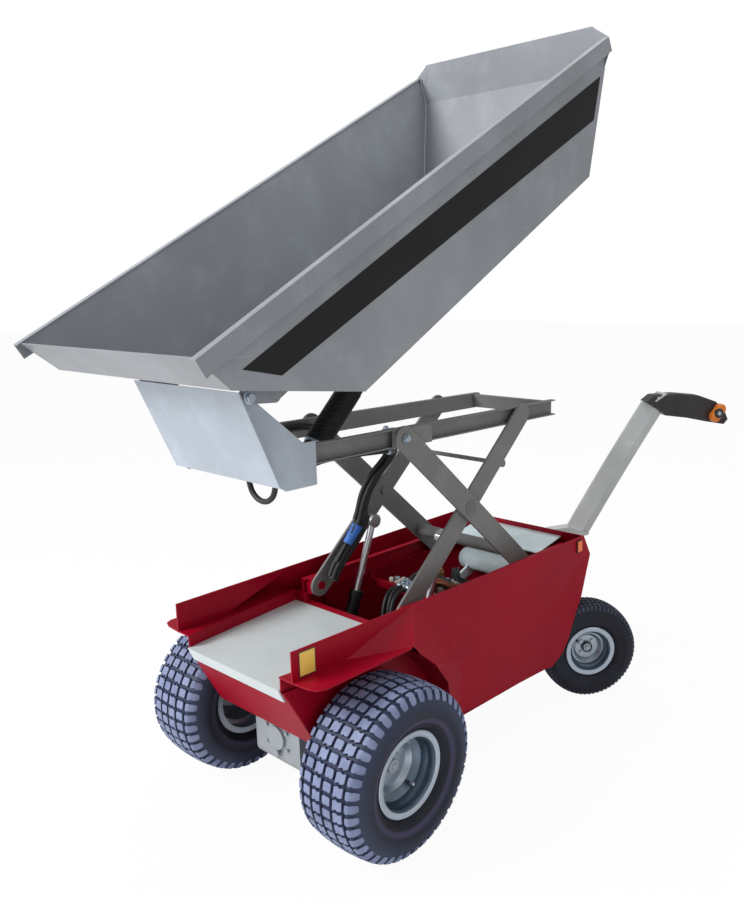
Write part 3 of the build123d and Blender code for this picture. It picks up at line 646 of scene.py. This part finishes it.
for side, hand in SIDES:
    tyre(f"dressed_front_tyre_{hand}", f"front_wheel_{hand}", FRONT_TYRE, FRONT_BLOCKS, FRONT_WALL,
         front_place, side)
    tyre(f"dressed_rear_tyre_{hand}", f"rear_wheel_{hand}", REAR_TYRE, REAR_BLOCKS, REAR_WALL,
         rear_place, side)

# ---------------------------------------------------------------- rims: rolled edges, pressed bands and valves
RIM_SIDES = 96


def rim_bands(stem, place, half, flange, seat):
    """Rolled edge over the flange with a painted highlight, and the pressed band at the mouth of the well in
    painted shade.
    """
    low = seat - 4
    well = 0.58 * half
    edge = [(half + 0.6, low - 0.6), (half + 2.4, low - 0.4), (half + 4.3, low + 2), (half + 4.9, low + 6),
            (half + 4.9, flange - 5), (half + 5.6, flange - 2.4), (half + 4.8, flange - 0.6),
            (half + 3, flange + 0.2), (half + 1, flange - 0.4), (half + 1.2, low + 1)]
    band = [(half * 0.90, low - 0.3), (half * 0.90, low - 3.6), (half * 0.78, low - 4.6),
            (half * 0.72, low - 6.5), (well * 1.05, low - 13.4), (well * 0.9, low - 14.2),
            (well * 0.9, low - 12), (half * 0.74, low - 4)]
    for side, hand in SIDES:
        form = Form()
        form.ring(edge, RIM_SIDES)
        form.kind = 1
        form.ring(band, RIM_SIDES)
        form.placed(lambda x, y, z: place(side)(side * x, y, z))
        form.object(f"{stem}_rim_bands_{hand}", f"{stem}_wheel_{hand}", "zinc", PAINTED_HIGHLIGHT_RIM, PAINTED_SHADE_RIM)


def valves(stem, place, face, reach, angle):
    """Tyre valve with its cap, and the hub nut; face is the disc's, from the wheel's middle, in mm."""
    for side, hand in SIDES:
        put = place(side)
        centre = put(0, 0, 0)
        out = (put(1, 0, 0) - centre).normalized() * side
        up = Vector((0, 0, 1))
        spot = up * math.cos(angle) + out.cross(up) * math.sin(angle)
        lean = out + spot * -0.25
        form = Form()
        foot = centre + out * (face + 6) / 1000 + spot * reach / 1000
        form.turned(foot, lean, [(-4, 9), (3, 9), (6, 5.5), (16, 4.6), (26, 4.2)], 20)
        form.kind = 1
        form.turned(foot + lean * 0.026, lean, [(-1, 5), (8, 5), (10, 3.8)], 16)
        form.kind = 2
        form.turned(centre + out * (face + 4) / 1000, out, [(0, 17), (5, 17), (7, 14)], 6)
        form.turned(centre + out * (face + 9) / 1000, out, [(0, 8), (6, 8), (8, 6)], 20)
        form.object(f"{stem}_valve_{hand}", f"{stem}_{hand}", None, finishes["black_plastic"],
                    CAP, finishes["zinc"])


rim_bands("front", front_place, 78, 114, 101.6)
rim_bands("rear", rear_place, 45.6, 90, 78)
valves("front_wheel", front_place, 10, 82, 3.75)
valves("rear_wheel", rear_place, 5, 62, 0.9)

# ---------------------------------------------------------------- skip: side stripes and folded corners
SKIP_FLOOR_X = 340           # half width of the skip at its floor
SKIP_FLOOR_Z = -120
SKIP_FLARE = 0.1             # how far a side leans out for each millimetre of height
STRIPE = ((-62, 128), (15, 59), (1402, 22), (1478, 122))


def skip_stripes():
    """Bare dark film on both sides of the skip."""
    for side, hand in SIDES:
        form = Form()
        line = [skip_place(side * (SKIP_FLOOR_X + SKIP_FLARE * (z - SKIP_FLOOR_Z) + 0.25), y, z)
                for y, z in STRIPE]
        form.prism(line, (side * 0.0006, 0, 0.00006), 0.0005)
        form.object(f"skip_stripe_{hand}", "skip", None, STRIPE_FILM)


def skip_corners():
    """Folded corners where the back panel runs out to the rims, and the seams inside them, in paler paint as a
    painted highlight.
    """
    still = skip_place(0, 0, 0)
    sheet, rim_end = skip_place(0, -3, 0) - still, skip_place(0, 31, 0) - still
    for side, hand in SIDES:
        form = Form()
        form.prism([skip_place(side * x, y, z) for x, y, z in
                    ((333, 1551, 245), (386, 1539.5, 211), (387, 1529, 180), (384, 1524, 170),
                     (363, 1512.5, 132))], sheet)
        form.prism([skip_place(side * x, 1506, z) for x, z in
                    ((367, 211.4), (387.4, 211.4), (387.4, 171), (384.6, 171), (384.6, 208.6),
                     (367, 208.6))], rim_end)
        # the seam beads take the paler carrier paint as a painted highlight along the inside corners
        form.kind = 1
        form.tube([skip_place(side * x, y, z) for x, y, z in
                   ((336, 1321, -114), (347, 1406, 0), (359, 1506, 128), (366, 1526, 190),
                    (362, 1534, 208))], 2.6, 12)
        form.object(f"skip_corner_{hand}", "skip", "skip_paint", finishes["skip_paint"],
                    finishes["carrier_paint"])


skip_stripes()
skip_corners()

# ---------------------------------------------------------------- side plates: reflectors and a bare sticker
REFLECTOR_Y, REFLECTOR_Z = 999, 562
REFLECTOR_WIDE, REFLECTOR_TALL = 15, 22      # half sizes
REFLECTOR_CORNER = 5
STICKER_CARD = ((-206, 519), (-155, 519), (-155, 586), (-206, 586))


def plate_x(y):
    """Half width over the side plates, which spread towards the back."""
    return 248.6 + 0.0288 * (y + 227)


def reflectors():
    """Amber lens in a black frame on each side plate."""
    for side, hand in SIDES:
        form = Form()
        frame_tall = Vector((side * 0.005, 0, 0))
        corner = []
        for sy, sz, turns in ((1, 1, 0), (-1, 1, 1), (-1, -1, 2), (1, -1, 3)):
            for step in range(4):
                angle = math.pi / 2 * (turns + step / 3)
                corner.append(here(plate_x(REFLECTOR_Y) * side,
                                   REFLECTOR_Y + sy * (REFLECTOR_WIDE - REFLECTOR_CORNER)
                                   + REFLECTOR_CORNER * math.cos(angle),
                                   REFLECTOR_Z + sz * (REFLECTOR_TALL - REFLECTOR_CORNER)
                                   + REFLECTOR_CORNER * math.sin(angle)))
        form.prism(corner, frame_tall, 0.03)
        form.kind = 1
        glass = [point + frame_tall for point in corner]
        middle = sum(glass, Vector()) / len(glass)
        form.prism([point.lerp(middle, 0.14) for point in glass], (side * 0.002, 0, 0), 0.08)
        form.object(f"side_reflector_{hand}", "chassis", None, finishes["black_plastic"], REFLECTOR)


def sticker():
    """Plain yellow sticker with a dark edge on the left side plate."""
    form = Form()
    card_thick = Vector((0.0004, 0, 0))
    card = [here(plate_x(y) + 0.15, y, z) for y, z in STICKER_CARD]
    form.prism(card, card_thick)
    form.kind = 1
    face = [point + card_thick for point in card]
    middle = sum(face, Vector()) / len(face)
    form.prism([point.lerp(middle, 0.10) for point in face], (0.0002, 0, 0))
    form.object("side_sticker", "chassis", None, finishes["black_plastic"], STICKER)


reflectors()
sticker()

# ---------------------------------------------------------------- pins and nuts
PIVOT_CAP = [(-0.5, 24), (1.4, 24), (2.2, 22), (2.2, 16), (1.2, 15), (1.2, 10), (2.8, 8.5), (3.0, 4)]
# body, name, place in mm on the left side, head size
PIN_NUTS = (
    ("inner_arms", "base_pin_nut", (186, 232, 533), 9),
    ("top_frame", "tip_pin_nut", (218, -283, 1206), 11),
    ("top_frame", "top_pin_nut", (203, 232, 1039.5), 9),
)


def pin_ends():
    """Flat caps on the scissor's middle pivots, and nuts on its other pins."""
    for side, hand in SIDES:
        form = Form()
        form.turned(here(side * 199, 513.3, 786.3), (side, 0, 0), PIVOT_CAP, 40)
        form.object(f"pivot_cap_{hand}", "outer_arms", None, PIN_GREY)
    for body, name, (x, y, z), size in PIN_NUTS:
        for side, hand in SIDES:
            form = Form()
            form.bolt(here(side * x, y, z), (side, 0, 0), size)
            form.object(f"{name}_{hand}", body, None, finishes["zinc"])


pin_ends()

# ---------------------------------------------------------------- hydraulic hoses and cables
HOSE_SIDES = 14
# name, body, radius, offset of each strand, route of the first one, in mm
RUNS = (
    ("frame_hose_bundle", "top_frame", 8, ((0, 0, 0), (14, -4, 3), (-6, -14, 8), (10, -17, -6)),
     ((-86, 462, 992), (-84, 470, 952), (-86, 452, 914), (-94, 396, 862), (-104, 366, 808),
      (-111, 352, 752), (-113, 342, 728))),
    ("arm_hose_bundle", "inner_arms", 8, ((0, 0, 0), (9, 4, -9), (-4, 8, -13), (9, 13, -19)),
     ((-113, 358, 762), (-118, 334, 708), (-130, 292, 652), (-140, 258, 606), (-142, 238, 570))),
    ("arm_hose_thin", "inner_arms", 4.5, ((0, 0, 0), (5, 8, -5)),
     ((-118, 352, 752), (-114, 322, 716), (-120, 296, 672), (-132, 258, 612))),
    ("tub_hose_front", "chassis", 7, ((0, 0, 0), (18, 4, 5), (36, -4, 0)),
     ((-44, 433, 499), (-42, 404, 500), (-36, 372, 478), (-30, 352, 430), (-28, 350, 380), (-30, 356, 340))),
    ("tub_hose_rear", "chassis", 8, ((0, 0, 0), (24, -2, -4), (48, 4, 3)),
     ((-44, 484, 497), (-52, 512, 500), (-74, 556, 488), (-78, 590, 470), (-78, 612, 455))),
    ("tub_hose_cross", "chassis", 7, ((0, 0, 0), (4, 18, 5), (-4, 36, -3)),
     ((-140, 560, 440), (-96, 580, 492), (-40, 592, 486), (6, 600, 470), (40, 628, 440), (62, 650, 408))),
    ("tub_cable_red", "chassis", 5, ((0, 0, 0), (12, 6, -2), (-8, 14, 3)),
     ((-30, 590, 440), (-12, 560, 484), (16, 566, 492), (40, 600, 470), (50, 650, 452), (48, 690, 408))),
    ("tub_cable_black", "chassis", 4.5, ((0, 0, 0), (9, 8, 3), (16, -10, 2), (-12, 6, -4)),
     ((-40, 720, 420), (-60, 740, 470), (-30, 700, 486), (10, 660, 478), (52, 700, 450), (90, 760, 408))),
    ("rail_hose", "top_frame", 7, ((0, 0, 0),),
     ((100, -60, 985), (128, -10, 1006), (140, 60, 1010), (146, 160, 1006), (140, 226, 1000))),
    ("far_rail_hose", "top_frame", 5, ((0, 0, 0), (0, 4, 11)),
     ((-104, 206, 1008), (-126, 200, 1030), (-144, 160, 1042), (-146, 80, 1042), (-138, 0, 1036),
      (-120, -60, 1026))),
)
# ends of the hoses: body, place, direction, size
FITTINGS = (
    ("top_frame", (-86, 462, 992), (0, -0.1, 1), 10), ("top_frame", (-72, 458, 995), (0, -0.1, 1), 10),
    ("top_frame", (-92, 448, 1000), (0, -0.1, 1), 10), ("top_frame", (-76, 445, 986), (0, -0.1, 1), 10),
    ("top_frame", (100, -60, 985), (-0.6, -0.8, 0), 9), ("top_frame", (140, 226, 1000), (0, 1, -0.2), 9),
    ("chassis", (-30, 356, 338), (0, 0, -1), 10), ("chassis", (62, 650, 406), (0, 0.2, -1), 10),
    ("chassis", (48, 690, 404), (0, 0.2, -1), 11),
)


def hoses():
    """Hoses and cables as rigid tubes that ride on one body; nothing clamps them."""
    for name, body, radius, strands, route in RUNS:
        form = Form()
        for dx, dy, dz in strands:
            form.tube([here(x + dx, y + dy, z + dz) for x, y, z in route], radius, HOSE_SIDES)
        form.object(name, body, None, COPPER if name == "tub_cable_red" else finishes["hose_rubber"])


def hose_ends():
    """Crimped sleeve, hexagon and nipple at each hose end, one piece for each body."""
    groups = {}
    for body, place, direction, size in FITTINGS:
        form = groups.setdefault(body, Form())
        foot = here(*place)
        form.turned(foot, direction, [(-16, size * 0.85), (-4, size * 0.95), (-3, size * 1.15),
                                      (0, size * 1.15)], 20)
        form.turned(foot, direction, [(-1, size * 1.3), (9, size * 1.3), (10, size * 1.15)], 6)
        form.turned(foot, direction, [(9, size * 0.8), (17, size * 0.8), (18, size * 0.6)], 20)
    for body, form in groups.items():
        form.object(f"hose_fittings_{body}", body, "zinc", finishes["zinc"])


hoses()
hose_ends()


def tape_wraps():
    """Blue tape wound round the hoses beside the far arm."""
    turns, radius, ridge, taper = 14, 17.5, 1.2, 0.2
    form = Form()
    foot, end = here(-117, 338, 714), here(-125, 300, 662)
    run = end - foot
    profile = [(run.length * 1000 * step / turns, radius + (ridge if step % 3 else 0.0) - taper * step)
               for step in range(turns + 1)]
    form.turned(foot, run, profile, 28)
    form.object("hose_tape", "inner_arms", None, TAPE)


tape_wraps()

BATTERY_TOP = 400


def block(form, place, wide, deep, tall, inset):
    """A rectangular block on its foot's middle, half sizes and height in mm."""
    x, y, z = place
    form.prism([here(x + dx, y + dy, z) for dx, dy in ((-wide, -deep), (wide, -deep), (wide, deep),
                                                      (-wide, deep))], (0, 0, tall / 1000), inset)


def valve_block():
    """Control block with its bolts and solenoids, and relays beside it, on the battery."""
    left, right, near, far, cut = -122, -34, 600, 700, 5
    form = Form()
    form.prism([here(x, y, BATTERY_TOP - 1) for x, y in
                ((left + cut, near), (right - cut, near), (right, near + cut), (right, far - cut),
                 (right - cut, far), (left + cut, far), (left, far - cut), (left, near + cut))],
               (0, 0, 0.052), 0.02)
    form.kind = 1
    for x, y in ((-110, 615), (-110, 685), (-46, 615), (-46, 685), (-78, 690)):
        form.bolt(here(x, y, BATTERY_TOP + 51), (0, 0, 1), 8)
    form.kind = 2
    for x, y, tall in ((-92, 640, 46), (-60, 628, 36), (-62, 664, 50)):
        form.turned(here(x, y, BATTERY_TOP + 50), (0, 0, 1),
                    [(0, 13), (tall - 14, 13), (tall - 12, 9), (tall - 5, 9), (tall, 6)], 24)
    form.kind = 3
    for x, y, wide, tall in ((-20, 604, 13, 42), (10, 612, 15, 34), (-14, 690, 16, 46), (20, 676, 12, 30)):
        block(form, (x, y, BATTERY_TOP + 8), wide, wide, tall, 0.05)
    form.object("valve_block", "chassis", None, finishes["cast_casing"], finishes["zinc"], BRASS, RELAY)


def battery_lid():
    """Ribbed lid over the battery block."""
    form = Form()
    block(form, (0, 680, BATTERY_TOP - 1), 146, 114, 10, 0.015)
    for x in range(60, 141, 20):
        block(form, (x, 680, BATTERY_TOP + 8.5), 4, 108, 3, 0.01)
    form.object("battery_lid", "chassis", "black_plastic", finishes["black_plastic"])


valve_block()
battery_lid()


def manifold():
    """Hose manifold in the front of the tub, with banjo unions facing the deck, and two relays."""
    level = 508
    form = Form()
    block(form, (-25, 467, level - 22), 29, 15, 24, 0.03)
    form.kind = 1
    for x in (-44, -25, -6):
        form.bolt(here(x, 467, level + 1), (0, 0, 1), 8)
        form.turned(here(x, 453, level - 10), (0, -1, 0.1), [(-2, 9), (8, 9), (9, 11), (18, 11), (20, 7)], 18)
    form.kind = 2
    for x, y, tall, wide in ((12, 424, 38, 12), (40, 412, 30, 14)):
        block(form, (x, y, level - 60), wide, 10, tall, 0.06)
    form.object("hose_manifold", "chassis", None, finishes["cast_casing"], finishes["zinc"], RELAY)


manifold()


def tub_fittings():
    """Relays, plugs and cable ends on a small shelf at the far side of the tub."""
    shelf_z = 452
    form = Form()
    block(form, (-122, 528, shelf_z), 38, 28, 6, 0.01)
    form.kind = 1
    # six-sided plugs: x, y, half width, height
    for x, y, wide, tall in ((-148, 512, 8, 30), (-126, 516, 9, 22), (-104, 512, 10, 34), (-146, 540, 9, 20),
                             (-120, 542, 8, 28), (-98, 540, 7, 18)):
        form.prism([here(x + wide * math.cos(a), y + wide * math.sin(a), shelf_z + 5)
                    for a in (math.pi / 4 + math.pi / 3 * k for k in range(6))], (0, 0, tall / 1000), 0.12)
    form.kind = 2
    for x, y, tall in ((-136, 528, 34), (-112, 530, 26), (-92, 526, 38)):
        form.turned(here(x, y, shelf_z + 5), (0.1, -0.1, 1),
                    [(0, 7), (tall - 10, 7), (tall - 9, 9), (tall - 2, 9), (tall, 5)], 18)
    form.object("tub_fittings", "chassis", None, finishes["black_plastic"], RELAY, finishes["zinc"])


tub_fittings()


def bellows():
    """Ribbed rubber gaiter on the tipping cylinder's barrel, its clips, and the rod's wiper."""
    ribs, pitch, first, last = 24, 8, 52, 250
    foot = here(0, *TIP_FOOT)
    run = skip_place(0, *TIP_EYE) - foot
    profile = [(first, 31.4)]
    for step in range(ribs):
        start = first + 4 + step * pitch
        profile += [(start, 32), (start + 2.4, 35.6), (start + 4.6, 35.6), (start + 7, 32)]
    form = Form()
    form.collar(foot, run, [*profile, (last, 31.4), (last, 31.15), (first, 31.15)], 48)
    form.object("tip_cylinder_gaiter", "tip_barrel", "hose_rubber", finishes["hose_rubber"])
    form = Form()
    for start in (first - 4, last):
        form.collar(foot, run, [(start, 31.6), (start + 0.6, 33.6), (start + 8, 33.6), (start + 8.6, 31.6)], 48)
    form.collar(foot, run, [(265, 18.6), (265, 27), (267, 27), (268, 24), (268, 18.6)], 36)
    form.object("tip_cylinder_clips", "tip_barrel", "zinc", finishes["zinc"])


bellows()


def rod_wipers():
    """Dark glands where the lifting rods leave their barrels."""
    for side, hand in SIDES:
        _, (_, back, top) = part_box(f"lift_cylinder_rod_{hand}")
        foot = here(side * LIFT_X, *LIFT_FOOT)
        eye = Vector((side * LIFT_X / 1000, back - 0.018, top - 0.018))
        form = Form()
        form.collar(foot, eye - foot, [(190, 20.2), (190.6, 23), (196, 23.6), (199, 23), (200, 14),
                                       (200, 11.5), (196, 11.5), (196, 20.2)], 36)
        form.object(f"lift_gland_{hand}", "lift_barrel", "black_paint", finishes["black_paint"])


rod_wipers()


# ---------------------------------------------------------------- tiller
def controls():
    """Hubs of the throttle butterfly on the tiller's head."""
    form = Form()
    across = steered(1, 0, 0) - steered(0, 0, 0)
    for side, _ in SIDES:
        foot = steered(side * 31, 640, 955)
        form.kind = 0
        form.turned(foot, across * side, [(0, 20), (29, 20), (32, 17), (32.6, 9)], 40)
        form.kind = 1
        form.turned(foot, across * side, [(31, 8), (34, 8), (35, 6)], 24)
    form.object("throttle_hubs", "steering", "black_plastic", finishes["black_plastic"], finishes["zinc"])


def tiller_top_plate():
    """Bolted plate over the joint of the tiller's arm and head."""
    form = Form()
    form.prism([steered(x, y, z) for x, y, z in
                ((-44, 380, 1006), (46, 380, 1006), (46, 424, 1034.5), (-44, 424, 1034.5))],
               (0, 0, 0.003), 0.01)
    for x in (-30, 32):
        form.bolt(steered(x, 396, 1018), (0, 0, 1), 5)
    form.object("tiller_top_plate", "steering", "tiller_paint", finishes["tiller_paint"])


controls()
tiller_top_plate()


# ---------------------------------------------------------------- floor and light
WHITE = (1, 1, 1, 1)
FLOOR_REACH = 30
FLOOR_TONE = (0.92, 0.92, 0.92)
FLOOR_GLOW = 0.95            # share of plain white that the camera sees in the floor
SKY_STRENGTH = 0.47


def floor():
    """Pale floor that keeps the machine's shadow and fades to white."""
    sheet = bmesh.new()
    bmesh.ops.create_grid(sheet, x_segments=1, y_segments=1, size=FLOOR_REACH)
    mesh = bpy.data.meshes.new("floor")
    sheet.to_mesh(mesh)
    sheet.free()
    pale = Finish("pale_floor", roughness=0.9, base_color=FLOOR_TONE)
    seen = pale.node("ShaderNodeLightPath", out="Is Camera Ray")
    glow = pale.node("ShaderNodeEmission", {"Color": WHITE, "Strength": 1.0})
    both = pale.node("ShaderNodeMixShader", [seen * FLOOR_GLOW, Value(pale, pale.shader.outputs[0]), glow])
    pale.feed(pale.tree.nodes["Material Output"].inputs["Surface"], both)
    mesh.materials.append(pale.material)
    linked("floor", mesh)


def lamp(name, place, aim, size, power):
    """A round area lamp turned towards its aim."""
    data = bpy.data.lights.new(name, "AREA")
    data.shape = "DISK"
    data.size = size
    data.energy = power
    made = linked(name, data)
    made.location = place
    made.rotation_euler = (Vector(aim) - Vector(place)).to_track_quat("-Z", "Y").to_euler()


def sky():
    """Soft light from all round, seen as plain white by the camera."""
    world = bpy.data.worlds.new("studio")
    bpy.context.scene.world = world
    world.use_nodes = True
    tree = world.node_tree
    surround = tree.nodes["Background"]
    surround.inputs["Color"].default_value = WHITE
    surround.inputs["Strength"].default_value = SKY_STRENGTH
    white = tree.nodes.new("ShaderNodeBackground")
    white.inputs["Color"].default_value = WHITE
    white.inputs["Strength"].default_value = 1.0
    seen = tree.nodes.new("ShaderNodeLightPath")
    mix = tree.nodes.new("ShaderNodeMixShader")
    for source, target in ((seen.outputs["Is Camera Ray"], mix.inputs[0]), (surround.outputs[0], mix.inputs[1]),
                           (white.outputs[0], mix.inputs[2]),
                           (mix.outputs[0], tree.nodes["World Output"].inputs["Surface"])):
        tree.links.new(source, target)


bpy.context.scene.view_settings.view_transform = "Standard"
floor()
sky()
# name, place, aim, size, power
lamp("key", (-1.9, -3.9, 3.2), (0, 0, 0.8), 2.0, 190)
lamp("fill", (4.5, -0.5, 2.6), (0, 0, 0.8), 2.5, 16)
lamp("top", (0.2, 0.4, 4.6), (0, 0, 0), 2.5, 60)
